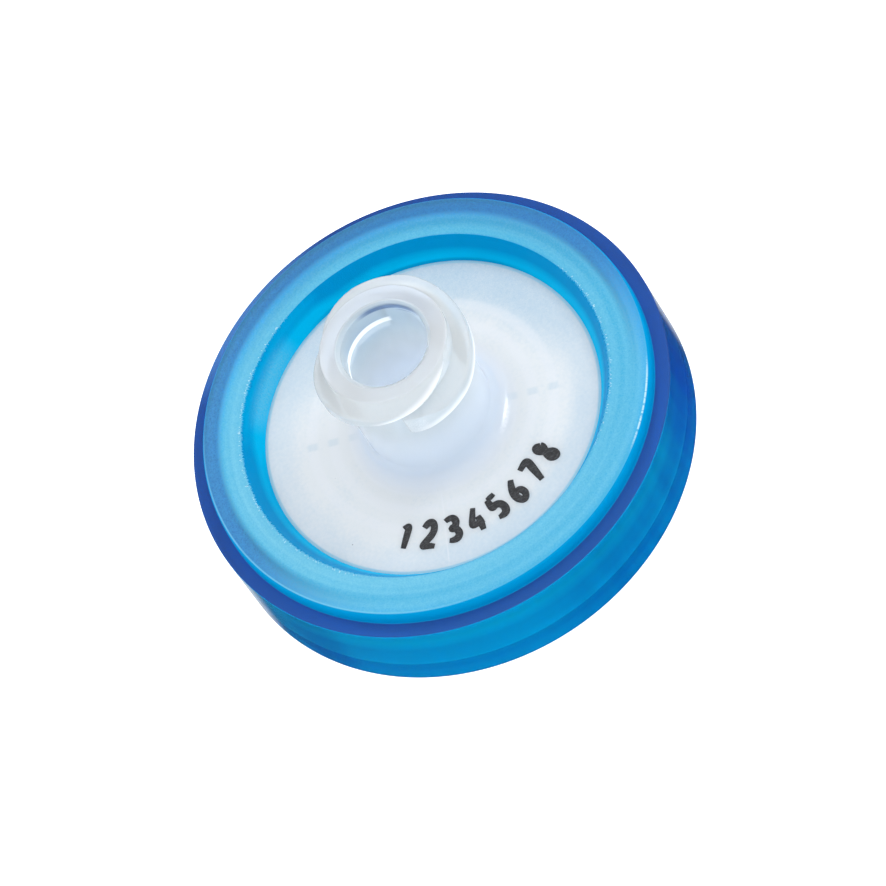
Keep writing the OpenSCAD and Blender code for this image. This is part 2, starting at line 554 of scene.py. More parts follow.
class Piece:
    """One visible piece of the filter: a mesh in the frame, its finish and its body."""

    name: str
    node: Optional[str]
    slot: str

    def shape(self) -> bmesh.types.BMesh:
        """Build the piece's mesh in millimetres."""
        raise NotImplementedError

    def material(self) -> bpy.types.Material:
        """Build the piece's finish."""
        raise NotImplementedError

    def build(self) -> bpy.types.Object:
        """Make the object, dress it and join it to the frame.

        Returns:
            The finished object.
        """
        shape = self.shape()
        bmesh.ops.scale(shape, vec=(MM, MM, MM), verts=shape.verts[:])
        piece = place_mesh(self.name, shape, self.material())
        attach(piece, BODY)
        if self.node is not None:
            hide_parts(self.node)
        log.info("%s: %d faces", self.name, len(piece.data.polygons))
        return piece


# ---------------------------------------------------------------- sizes of the frame


@dataclass(frozen=True)
class Levels:
    """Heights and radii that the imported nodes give."""

    foot: float
    land: float
    ring_r: float
    outlet_face: float
    inlet_under: float
    inlet_face: float
    shell_r: float
    rim: float
    membrane_low: float
    membrane_high: float

    @classmethod
    def from_frame(cls, plate_t: float, nozzle_h: float) -> "Levels":
        """Read the levels from the nodes' boxes.

        Args:
            plate_t: Thickness of the inlet shell's plate.
            nozzle_h: Height of the outlet face above the nozzle's end.

        Returns:
            The levels.
        """
        ring_low, ring_high = (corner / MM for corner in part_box("seal_ring"))
        _, inlet_high = (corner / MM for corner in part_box("inlet_shell"))
        _, outlet_high = (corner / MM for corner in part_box("outlet_shell"))
        film_low, film_high = (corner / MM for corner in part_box("membrane"))
        return cls(
            foot=ring_low.z,
            land=ring_high.z,
            ring_r=ring_high.x,
            outlet_face=nozzle_h,
            inlet_under=outlet_high.z,
            inlet_face=outlet_high.z + plate_t,
            shell_r=outlet_high.x,
            rim=inlet_high.z,
            membrane_low=film_low.z,
            membrane_high=film_high.z,
        )


LEVELS = Levels.from_frame(plate_t=1.2, nozzle_h=10.55)
CHANNEL_TURN = 66.0
FIRST_RIB = 1.62
RIB_PITCH = 1.03
RIB_W = 0.5
RIB_COUNT = 5
CHAMBER_R = 6.94


def rib_radii() -> list[tuple[float, float]]:
    """The inner and outer radius of every round rib."""
    starts = [FIRST_RIB + RIB_PITCH * rib for rib in range(RIB_COUNT)]
    return [(start, start + RIB_W) for start in starts]


# ---------------------------------------------------------------- finishes


class RingBoard(Board):
    """The blue ring's board, with the patterns that several of its colours use."""

    RAGGED: Patches = ((1.0, (112.0, 222.0, 10.0)), (1.0, (-52.0, 10.0, 8.0)))
    RAGGED_REACH = 0.6

    def __init__(self, ring: "BlueRing") -> None:
        """Start the material and lay out its patterns.

        Args:
            ring: The ring that it covers.
        """
        super().__init__("blue_plastic")
        self.ring = ring
        inner, outer, level = ring.slope_r, ring.land_r, LEVELS.land
        self.grain = self.noise(14.0, 3.0)  # fine frosting
        self.drift = self.noise(0.5)  # broad unevenness
        self.flow = self.turned_noise(0.04, 0.8)  # soft waves where the plastic ran round
        self.rings = self.turned_noise(0.004, 1.6, 3.0)  # long cloudy streaks
        self.nicks = self.turned_noise(2.2, 3.0)  # short marks that break up an edge
        # Where the land's inner edge is ragged, and the radius, which is shaken there
        self.ragged = weigh(self.sector, self.RAGGED)
        self.reach = self.radius + (self.nicks - 0.5) * self.ragged * self.RAGGED_REACH
        self.low = abs(self.height - LEVELS.foot)  # height above the foot
        land = self.height.step(level - 0.10, level - 0.03)
        land = land * self.reach.step(inner - 0.03, inner + 0.03)
        self.land = land * self.radius.step(outer - 0.03, outer - 0.08)
        self.ledge = self.upward.step(0.3, 0.8) * self.radius.step(outer, outer + 0.08)


@dataclass(frozen=True)
class BluePlastic:
    """Translucent blue plastic: frosted on the land and glossy elsewhere."""

    azure: Colour = (0.0, 0.74, 1.0)
    deep: Colour = (0.0, 0.27, 0.58)
    # The colour of the painted shade on one side of the skirt
    side_shade: Colour = (0.0, 0.17, 0.67)
    frost: Colour = (0.085, 0.48, 0.74)
    # A paler frost, and the colour of the painted light on the lip and of the painted glint on the
    # slope
    pale_frost_and_glint: Colour = (0.23, 0.66, 0.85)
    # The colour of the painted shade on the land
    denim: Colour = (0.045, 0.155, 0.33)
    royal: Colour = (0.031, 0.102, 0.33)
    navy: Colour = (0.033, 0.078, 0.25)
    # The colour of the painted light on a stretch of the ledge
    lit_ledge: Colour = (0.11, 0.25, 0.49)
    cyan: Colour = (0.0, 0.57, 0.96)
    lagoon: Colour = (0.0, 0.34, 0.70)
    # The colour of the moulding flash on the land's inner edge and of a painted highlight on its
    # outer lip
    flash_and_highlight: Colour = (0.62, 0.90, 1.0)
    sheen: Colour = (0.06, 0.5, 1.0)
    # A faint painted blue glow of the glossy plastic
    blue_glow: Colour = (0.0, 0.0, 0.018)
    depth_colour: Colour = (0.0, 0.57, 1.0)
    density: float = 520.0
    clear_share: float = 0.75
    soft_clear_share: float = 0.25
    soft_rough: float = 0.14
    land_rough: float = 0.42
    gloss_rough: float = 0.06
    flow_depth: float = 0.008
    grain_depth: float = 0.014

    # The skirt's darker and lighter bands, by height above the foot
    skirt_shade: float = 0.42
    skirt_bands: Patches = (
        (-0.28, (3.1, 4.3, 0.3)),
        (0.22, (0.75, 1.45, 0.2)),
        (0.12, (-1.0, 0.75, 0.15)),
        (0.3, (-1.0, 0.2, 0.1)),
    )
    # The slope's painted highlights and painted shade, by azimuth
    slope_highlights_and_shade: Patches = (
        (0.45, (100.0, 152.0, 9.0)),
        (-0.2, (84.0, 96.0, 6.0)),
        (-0.22, (160.0, 186.0, 12.0)),
    )
    # Where else the ring changes round the axis: streaks, painted shade, painted light and painted
    # highlights
    streaked: Span = (275.0, 345.0, 15.0)
    # Painted shade on a narrow stretch of the skirt
    skirt_dark: Span = (204.0, 214.0, 5.0)
    # Painted shade on one side of the skirt and of the ledge's outer edge
    shaded_side: Span = (-38.0, 60.0, 14.0)
    # Painted shade: a dark crescent on the land's outer part
    land_far_shade: Span = (-12.0, 208.0, 26.0)
    # Painted shade on the land's inner part
    land_dim_shade: Span = (20.0, 110.0, 30.0)
    # Painted light along the land's outer lip
    lip_lit: Span = (160.0, 245.0, 20.0)
    # A painted highlight on the land's outer lip
    lip_highlight: Span = (311.0, 330.0, 5.0)
    # Painted shade in the crease at the slope's foot
    crease_shade: Span = (30.0, 100.0, 15.0)
    # A painted glint on the slope
    slope_glint: Span = (119.0, 142.0, 7.0)
    brim_dark: Span = (-40.0, 215.0, 25.0)
    # Painted light on a stretch of the ledge
    brim_lit: Span = (98.0, 128.0, 12.0)

    def skirt(self, board: RingBoard) -> Socket:
        """Colour the glossy skirt, with painted shade on two stretches of it.

        Args:
            board: The ring's board.

        Returns:
            The colour.
        """
        outer, low = board.ring.land_r, board.low
        skirt = board.radius.step(outer + 0.5, outer + 0.7) * (1 - board.ledge)
        streaks = board.turned_noise(0.35, 0.15) * board.sector(*self.streaked)
        bands = self.skirt_shade + weigh(low.band, self.skirt_bands)
        # painted shade on a narrow stretch of the skirt
        bands = bands + (board.rings - 0.45) * 0.6 + 0.35 * board.sector(*self.skirt_dark)
        shade = skirt * (bands + (streaks - 0.15) * 0.6) + 0.15 * (board.drift - 0.4)
        # painted shade on one side of the skirt
        side_shade = board.sector(*self.shaded_side) * (0.8 + 0.9 * (streaks - 0.3)) * skirt
        side_shade = side_shade * (0.5 + 0.5 * low.step(0.5, 1.3))
        return board.paint(self.azure, (shade, self.deep), (side_shade, self.side_shade))

    def land(self, board: RingBoard) -> Socket:
        """Colour the frosted land: its lips, its ragged inner edge, painted shade, painted light and
        a painted highlight.

        Args:
            board: The ring's board.

        Returns:
            The colour.
        """
        inner, outer = board.ring.slope_r, board.ring.land_r
        radius, nicks, speckle = board.radius, board.nicks, board.grain - 0.5
        # painted shade: a dark crescent on the outer part and a dim stretch on the inner part
        far = board.sector(*self.land_far_shade) * radius.step(outer - 1.05, outer - 0.65)
        dim = board.sector(*self.land_dim_shade) * radius.step(inner + 0.1, inner + 0.9)
        lip = radius.step(outer - 0.15, outer - 0.10)
        line = board.reach.band(inner - 0.03, inner + 0.07, 0.02) * board.ragged
        return board.paint(
            self.frost,
            ((board.rings - 0.34) * 2.2 + 1.2 * speckle, self.pale_frost_and_glint),
            (dim * 0.32, self.denim),
            (far * (0.75 + 0.8 * speckle), self.denim),
            # painted light and a painted highlight on the outer lip
            (lip * board.sector(*self.lip_lit) * 0.6, self.pale_frost_and_glint),
            (lip * board.sector(*self.lip_highlight) * nicks.step(0.4, 0.5), self.flash_and_highlight),
            (nicks.step(0.46, 0.40) * line, self.flash_and_highlight),
            (nicks.step(0.52, 0.58) * line * 0.9, self.deep),
        )

    def slope(self, board: RingBoard) -> Socket:
        """Colour the slope from the land down to the inlet face, with painted highlights and painted
        shade.

        Args:
            board: The ring's board.

        Returns:
            The colour.
        """
        inner, window = board.ring.slope_r, board.ring.window_r
        bright = board.radius.step(inner - 0.25, window + 0.1) * (0.5 + board.flow)
        # painted highlights and painted shade by azimuth
        bright = bright + weigh(board.sector, self.slope_highlights_and_shade) + 0.6 * (board.rings - 0.5)
        # painted shade in the crease at the slope's foot
        crease = board.radius.step(window + 0.12, window + 0.04) * board.sector(*self.crease_shade)
        # a painted glint
        glint = board.sector(*self.slope_glint) * (0.3 + 0.8 * board.nicks)
        glint = glint * board.radius.band(window + 0.02, window + 0.46, 0.2)
        return board.paint(
            self.lagoon,
            (bright, self.cyan),
            (crease * 0.7, self.deep),
            (glint * (0.6 + 1.2 * (board.grain - 0.5)), self.pale_frost_and_glint),
        )

    def top(self, board: RingBoard) -> Socket:
        """Colour everything above the skirt.

        Args:
            board: The ring's board.

        Returns:
            The colour.
        """
        inner, outer = board.ring.slope_r, board.ring.land_r
        brim = board.paint(
            self.royal,
            (board.sector(*self.brim_dark), self.navy),
            # painted light on a stretch of the ledge
            (board.sector(*self.brim_lit) * 0.8, self.lit_ledge),
        )
        # painted shade on the ledge's outer edge, on the same side
        brow = board.sector(*self.shaded_side) * board.radius.step(outer + 0.4, outer + 0.6)
        return board.paint(
            self.lagoon,
            (board.land, self.land(board)),
            (board.ledge + brow, brim),
            (board.reach.step(inner + 0.02, inner - 0.03), self.slope(board)),
        )

    def material(self, ring: "BlueRing") -> bpy.types.Material:
        """Build the ring's material.

        Args:
            ring: The ring whose land, slope and skirt it covers.

        Returns:
            The material.
        """
        board = RingBoard(ring)
        ledge = LEVELS.land - ring.ledge_drop
        upper = board.math(
            "MAXIMUM",
            board.height.step(ledge - 0.12, ledge - 0.04),
            board.radius.step(ring.slope_r + 0.3, ring.slope_r + 0.1),
        )
        glossy = board.principled({
            "Base Color": self.skirt(board),
            "Roughness": self.gloss_rough + 0.05 * board.drift,
            "IOR": PLASTIC_IOR,
            "Transmission Weight": self.clear_share,
            "Specular Tint": self.sheen,
            # a faint painted blue glow
            "Emission Color": self.blue_glow,
            "Emission Strength": 1.0,
            "Normal": board.bump(board.flow, self.flow_depth),
        })
        frosting = self.land_rough - self.soft_rough + 0.2 * board.drift
        soft = board.principled({
            "Base Color": self.top(board),
            "Roughness": self.soft_rough + board.land * frosting,
            "IOR": PLASTIC_IOR,
            "Specular IOR Level": 0.0,
            "Transmission Weight": self.soft_clear_share,
            "Specular Tint": self.sheen,
            "Normal": board.bump(board.grain, self.grain_depth),
        })
        absorb = board.add(
            "ShaderNodeVolumeAbsorption",
            None,
            {"Color": self.depth_colour, "Density": self.density},
        )
        return board.finish(board.mix_shader(upper, glossy, soft), absorb.outputs[0])


class ShellBoard(Board):
    """The milky shells' board, with the patterns that several of its colours use."""

    SOCKET_WALL = (2.34, 2.28)

    def __init__(self, name: str) -> None:
        """Start the material and lay out its patterns.

        Args:
            name: The material's name.
        """
        super().__init__(name)
        self.paper = self.noise(6.0, 3.0)  # fine cloudiness
        self.grit = self.noise(16.0, 3.0)  # finer cloudiness
        self.depth = LEVELS.rim - self.height  # depth below the rim
        # 1 on the inlet shell's plate, in the socket and on the rim's flat top
        self.face = self.height.band(LEVELS.inlet_under, LEVELS.inlet_face + 0.3, 0.1)
        self.inside = self.radius.step(*self.SOCKET_WALL)
        self.top = self.height.step(LEVELS.rim - 0.04, LEVELS.rim - 0.01)

    def socket_patches(self, *patches: tuple[float, Span, Span]) -> Signal:
        """Mark patches on the socket's wall.

        Args:
            *patches: The weight, the span of depths and the sector of each patch.

        Returns:
            The sum of the patches.
        """
        marks = (
            weight * self.depth.band(*depths) * self.sector(*turns)
            for weight, depths, turns in patches
        )
        return self.inside * sum(marks)


@dataclass(frozen=True)
class MilkyPlastic:
    """Natural translucent plastic, smooth and slightly milky."""

    white: Colour = (0.71, 0.745, 0.77)
    # The plate's cloudy tone, and the colour of the painted blue light from the ring
    cool: Colour = (0.33, 0.51, 0.65)
    stem: Colour = (0.73, 0.787, 0.86)
    shade: Colour = (0.62, 0.75, 0.90)
    hub: Colour = (0.83, 0.915, 0.985)
    # The colour of the painted shade in the socket's mouth
    mouth_shade: Colour = (0.58, 0.72, 0.86)
    shadow: Colour = (0.05, 0.14, 0.34)
    rim: Colour = (0.68, 0.745, 0.85)
    rim_light: Colour = (0.80, 0.87, 0.97)
    # The colour of the painted glow deep in the socket
    glow: Colour = (0.195, 0.208, 0.218)
    # The colour of the painted highlights and of the painted glow on a lug's end
    glint: Colour = (0.50, 0.47, 0.44)
    rib: Colour = (0.74, 0.77, 0.81)
    line: Colour = (0.26, 0.58, 0.74)
    speck: Colour = (0.18, 0.20, 0.24)
    rough: float = 0.14
    clear_rough: float = 0.02
    clear_share: float = 0.5
    depth: float = 1.2
    hub_depth: float = 2.64
    paper_depth: float = 0.003

    # Where the plate's painted blue light from the ring is stronger, and where the knit line runs,
    # round the axis
    face_far: Span = (5.0, 115.0, 35.0)
    face_near: Span = (255.0, 330.0, 25.0)
    knit: Span = (236.0, 256.0, 2.0)
    # Where the hub and the socket do, with painted shade, painted light, a painted glow and a
    # painted highlight
    hub_shady: Span = (-14.0, 60.0, 14.0)
    rim_lit: Span = (168.0, 350.0, 30.0)
    mouth_side: Span = (-10.0, 150.0, 40.0)
    # A painted glow on the end of a lug
    lug_end_glow: Span = (247.0, 266.0, 2.0)
    foot_sparkle: Span = (312.0, 328.0, 9.0)
    # Painted dark crescents and painted highlight arcs on the socket's wall: weight, depths and
    # azimuths
    crescents: tuple[tuple[float, Span, Span], ...] = (
        (1.0, (0.18, 0.48, 0.06), (16.0, 90.0, 14.0)),
        (0.5, (0.54, 0.66, 0.05), (0.0, 45.0, 8.0)),
    )
    highlight_arcs: tuple[tuple[float, Span, Span], ...] = (
        (1.0, (1.20, 1.54, 0.05), (62.0, 150.0, 2.5)),
        (1.0, (1.30, 1.50, 0.08), (148.0, 178.0, 12.0)),
    )
    # Where each lug's crest has a painted highlight, and how wide that line is
    crest_lights: tuple[tuple[Span, float], ...] = (
        ((262.0, 350.0, 14.0), 0.56),
        ((238.0, 298.0, 14.0), 0.38),
    )

    def plate(self, board: ShellBoard) -> Socket:
        """Colour the plate, with the ribs that show through it, painted blue light from the ring,
        and the hub's foot.

        Args:
            board: The shell's board.

        Returns:
            The colour.
        """
        radius, face, paper = board.radius, board.face, board.paper
        far, near = board.sector(*self.face_far), board.sector(*self.face_near)
        # painted blue light from the ring, stronger near the plate's edge and on its far side
        edge = radius.step(6.4, 7.4) * (0.16 + 0.18 * near) * (1 - far)
        edge = edge + radius.step(5.0, 6.9) * 0.72 * far * (0.8 + 0.8 * (board.grit - 0.5))
        cloud = 0.3 * (board.noise(0.35) - 0.45) + 0.35 * (paper - 0.5)
        across, between = (
            board.off_line(CHANNEL_TURN + turn) for turn in (0.0, TURN / 4)
        )
        channel = board.math("MAXIMUM", across.step(0.26, 0.1), between.step(0.26, 0.1))
        ribs = sum(radius.band(inner, outer, 0.12) for inner, outer in rib_radii()[2:])
        knit = across.step(0.06, 0.02) * board.sector(*self.knit) * radius.band(4.2, 8.0, 0.3)
        return board.paint(
            self.white,
            (edge * face + cloud, self.cool),
            (ribs * (1 - 1.6 * channel) * face * 0.4, self.rib),
            (channel * ribs * across.step(3.0, 4.0) * face * 0.2, self.cool),
            (knit * face * 0.5, self.rib),
            (radius.band(8.18, 8.5, 0.05) * face * 0.8, self.line),
            (board.specks(1.1, 0.05, 0.3) * 0.7, self.speck),
            (radius.step(4.4, 3.4), self.stem),
        )

    def glass(self, board: ShellBoard) -> Socket:
        """Colour the hub, its rim and the socket, with painted shade and painted light.

        Args:
            board: The shell's board.

        Returns:
            The colour.
        """
        shady = board.sector(*self.hub_shady) * board.radius.step(3.3, 3.6)
        shady = shady + 0.8 * (board.paper - 0.45)
        # painted shade in the socket's mouth
        mouth_shade = board.inside * board.depth.step(4.0, 0.8) * board.sector(*self.mouth_side)
        return board.paint(
            self.hub,
            (shady * 0.6, self.shade),
            # painted light on one side of the rim's top
            (board.top, board.mix(board.sector(*self.rim_lit), self.rim, self.rim_light)),
            (mouth_shade * 0.8, self.mouth_shade),
            # painted dark crescents on the socket's wall
            (board.socket_patches(*self.crescents), self.shadow),
        )

    def crest(self, board: ShellBoard, lug: "Lug", width: float) -> Signal:
        """Find the painted highlight along a lug's crest.

        Args:
            board: The shell's board.
            lug: The lug.
            width: Width of the line.

        Returns:
            1 on the line.
        """
        climb = board.math("MAXIMUM", board.azimuth + TURN - lug.end_turn - lug.level, 0.0)
        above = board.height - (LEVELS.rim - lug.depth) - climb * (lug.lead / TURN)
        above = above + (lug.crest_r - board.radius) * (lug.lower_flank / lug.reach)
        line = above.step(-0.02, 0.10) * above.step(width, 0.04)
        return line * board.radius.step(3.2, 3.4)

    def light(self, board: ShellBoard) -> Socket:
        """Give the painted glow and the painted highlights, standing for light that the plastic
        scatters, in the socket, on the lugs and on the foot.

        Args:
            board: The shell's board.

        Returns:
            The emitted colour.
        """
        rim, face = LEVELS.rim, LEVELS.inlet_face
        # a painted glow deep in the socket
        deep = board.inside * board.height.step(rim - 1.2, rim - 6.0)
        deep = deep * board.height.step(LEVELS.inlet_under, face)
        # a painted glow on the end of a lug
        lug_end_glow = board.sector(*self.lug_end_glow) * board.radius.step(3.4, 3.5) * (board.grit - 0.42)
        lug_end_glow = lug_end_glow * board.height.band(rim - 3.2, rim - 1.4, 0.15)
        # painted highlights along the lugs' crests
        crests = [
            (self.crest(board, lug, width) * board.sector(*turns) * 0.75, self.glint)
            for lug, (turns, width) in zip(Lug.pair(), self.crest_lights)
        ]
        # a painted highlight on the hub's foot
        sparkle = board.radius.band(3.60, 3.82, 0.08) * board.sector(*self.foot_sparkle)
        sparkle = sparkle * board.height.step(face + 0.6, face + 0.2)
        return board.paint(
            BLACK,
            (deep, self.glow),
            (lug_end_glow * 0.75, self.glint),
            *crests,
            (sparkle * (board.paper - 0.15) * 0.8, self.glint),
            # painted highlight arcs on the socket's wall
            (board.socket_patches(*self.highlight_arcs), self.glint),
        )

    def material(self, name: str) -> bpy.types.Material:
        """Build a shell's material.

        Args:
            name: The material's name.

        Returns:
            The material.
        """
        board = ShellBoard(name)
        body = {
            "IOR": PLASTIC_IOR,
            "Subsurface Radius": (1.1, 1.1, 1.1),
            "Emission Color": self.light(board),
            "Emission Strength": 1.0,
        }
        waves = 0.12 * board.turned_noise(0.03, 1.2)
        milky = board.principled(body | {
            "Base Color": self.plate(board),
            "Roughness": self.rough + waves - 0.1 * board.radius.step(4.6, 4.0),
            "Subsurface Weight": 0.7,
            "Subsurface Scale": self.depth * MM,
            "Normal": board.bump(board.paper, self.paper_depth),
        })
        clear = board.principled(body | {
            "Base Color": self.glass(board),
            "Roughness": self.clear_rough + 0.25 * board.top,
            "Transmission Weight": self.clear_share,
            "Subsurface Weight": 0.9,
            "Subsurface Scale": self.hub_depth * MM,
        })
        face, outlet = LEVELS.inlet_face, LEVELS.outlet_face
        stem = board.height.step(face + 1.6, face + 4.8)
        nozzle = board.height.step(outlet - 0.2, outlet - 3.0)
        return board.finish(board.mix_shader((stem + nozzle) * 0.9, milky, clear))


@dataclass(frozen=True)
class SpeckledFinish:
    """A plain opaque finish of two tones that follow a noise."""

    name: str
    dark: Colour
    light: Colour
    scale: float
    detail: float
    tones: tuple[float, float]
    rough: tuple[float, float]
    depth: float
    stretch: Optional[Colour] = None

    def material(self) -> bpy.types.Material:
        """Build the material.

        Returns:
            The material.
        """
        board = Board(self.name)
        noise = board.noise(self.scale, self.detail, self.stretch)
        shader = board.principled({
            "Base Color": board.mix(noise.step(*self.tones), self.dark, self.light),
            "Roughness": self.rough[0] + self.rough[1] * noise,
            "Normal": board.bump(noise, self.depth),
        })
        return board.finish(shader)


POROUS_FILM = SpeckledFinish(
    "porous_film", (0.76, 0.77, 0.77), (0.88, 0.88, 0.87), scale=22.0, detail=4.0,
    tones=(0.35, 0.7), rough=(0.85, 0.1), depth=0.02,
)
BLACK_INK = SpeckledFinish(
    "black_ink", (0.012, 0.012, 0.013), (0.06, 0.06, 0.065), scale=7.0, detail=3.0,
    tones=(0.42, 0.72), rough=(0.42, 0.25), depth=0.01, stretch=(1.0, 3.0, 1.0),
)


# ---------------------------------------------------------------- pieces


@dataclass
class BlueRing(Piece):
    """The blue ring that is moulded round both shells."""

    name: str = "blue_ring"
    node: Optional[str] = "seal_ring"
    slot: str = "blue_ring"
    ledge_w: float = 0.75
    ledge_drop: float = 0.87
    land_w: float = 1.97
    slope_w: float = 0.76
    skirt_draft: float = 0.05
    foot_w: float = 2.3
    foot_round: float = 0.12
    land_round: float = 0.16
    edge_round: float = 0.07
    slope_top_turn: float = 143.0
    grip: float = 0.012
    steps: int = 360

    @property
    def land_r(self) -> float:
        """Outer radius of the land."""
        return LEVELS.ring_r - self.ledge_w

    @property
    def slope_r(self) -> float:
        """Inner radius of the land."""
        return self.land_r - self.land_w

    @property
    def window_r(self) -> float:
        """Radius of the opening over the inlet face."""
        return self.slope_r - self.slope_w

    def shape(self) -> bmesh.types.BMesh:
        """Turn the ring's section, whose cavity grips the shells.

        Returns:
            The mesh.
        """
        land, foot, ledge = LEVELS.land, LEVELS.foot, LEVELS.land - self.ledge_drop
        ring_r, foot_r = LEVELS.ring_r, LEVELS.ring_r - self.skirt_draft
        foot_inner = foot_r - self.foot_round - self.foot_w
        neck_r = foot_inner - (LEVELS.outlet_face - foot) / 2
        edge, grip, hold_r = self.edge_round, self.grip, LEVELS.shell_r - self.grip
        outline = Outline()
        outline.to(
            (hold_r, LEVELS.outlet_face + grip),
            (hold_r, LEVELS.inlet_face - grip),
            (self.window_r, LEVELS.inlet_face - grip),
            (self.window_r, LEVELS.inlet_face),
        )
        outline.arc(self.slope_r + edge / 2, land - edge, edge, self.slope_top_turn, 90)
        outline.arc(self.land_r - self.land_round, land - self.land_round, self.land_round, 90, 0)
        outline.arc(self.land_r + edge, ledge + edge, edge, 180, 270)
        outline.arc(ring_r - edge, ledge - edge, edge, 90, 0)
        outline.arc(foot_r - self.foot_round, foot + self.foot_round, self.foot_round, 0, -90)
        outline.to(
            (foot_inner, foot),
            (neck_r, LEVELS.outlet_face),
            (neck_r, LEVELS.outlet_face + grip),
        )
        return outline.turned(self.steps)

    def material(self) -> bpy.types.Material:
        """Dress the ring in blue plastic."""
        return BluePlastic().material(self)


@dataclass(frozen=True)
class Lug:
    """One of the two helical lugs, as a radius that depends on turn and height."""

    end_turn: float
    hub_r: float = 3.15
    crest_r: float = 3.9
    lead: float = 5.0
    level: float = 58.0
    rise: float = 186.0
    run_out: float = 37.0
    depth: float = 2.4
    crest_w: float = 0.7
    upper_flank: float = 0.65
    lower_flank: float = 0.35
    widen: float = 34.0
    flat: float = 0.5
    bend: float = 10.0
    end_round: float = 0.33
    end_angle: float = 22.0
    edge_round: float = 0.15
    root_round: float = 0.05
    start_soft: tuple[float, float] = (-1.0, 2.0)

    @classmethod
    def pair(cls) -> tuple["Lug", "Lug"]:
        """Give the two lugs, which start half a turn apart."""
        return cls(248.0), cls(68.0)

    @property
    def reach(self) -> float:
        """How far the crest stands out from the hub."""
        return self.crest_r - self.hub_r

    def lift(self, turn: float) -> float:
        """Find how far the lug has risen above its level stretch.

        Args:
            turn: Turn from the lug's lower end.

        Returns:
            The rise.
        """
        bent = limit(turn - self.level + self.bend, 0.0, 2 * self.bend)
        beyond = max(0.0, turn - self.level - self.bend)
        return self.lead / TURN * (bent * bent / (4 * self.bend) + beyond)

    def crest(self, turn: float) -> float:
        """Find the radius of the crest, which is less at both ends.

        Args:
            turn: Turn from the lug's lower end.

        Returns:
            The radius.
        """
        left = self.level + self.rise - turn
        low_end = self.end_round * limit(1 - turn / self.end_angle, 0.0, 1.0) ** 2
        return self.crest_r - low_end - self.reach * limit(1 - left / self.run_out, 0.0, 1.0)

    def radius(self, azimuth: float, height: float) -> float:
        """Radius of the lug's surface.

        Args:
            azimuth: Azimuth.
            height: Height above the rim, so below 0.

        Returns:
            The radius, or the hub's radius away from the lug.
        """
        turn = (azimuth - self.end_turn) % TURN
        if turn > TURN + self.start_soft[0]:
            turn -= TURN
        if turn > self.level + self.rise:
            return self.hub_r
        reach, along = self.reach, max(turn, 0.0)
        extra = self.flat * limit(2 * (1 - turn / self.widen), 0.0, 1.0)
        above = height + self.depth - self.lift(along)
        lower = self.crest_r + above * reach / self.lower_flank
        upper = self.crest_r - (above - self.crest_w - extra) * reach / (self.upper_flank - extra)
        flanks = smooth_min(lower, upper, self.edge_round)
        surface = smooth_min(flanks, self.crest(along), self.edge_round)
        surface = smooth_max(surface, self.hub_r, self.root_round) - self.root_round / 4
        return self.hub_r + max(0.0, surface - self.hub_r) * smooth_step(turn, *self.start_soft)


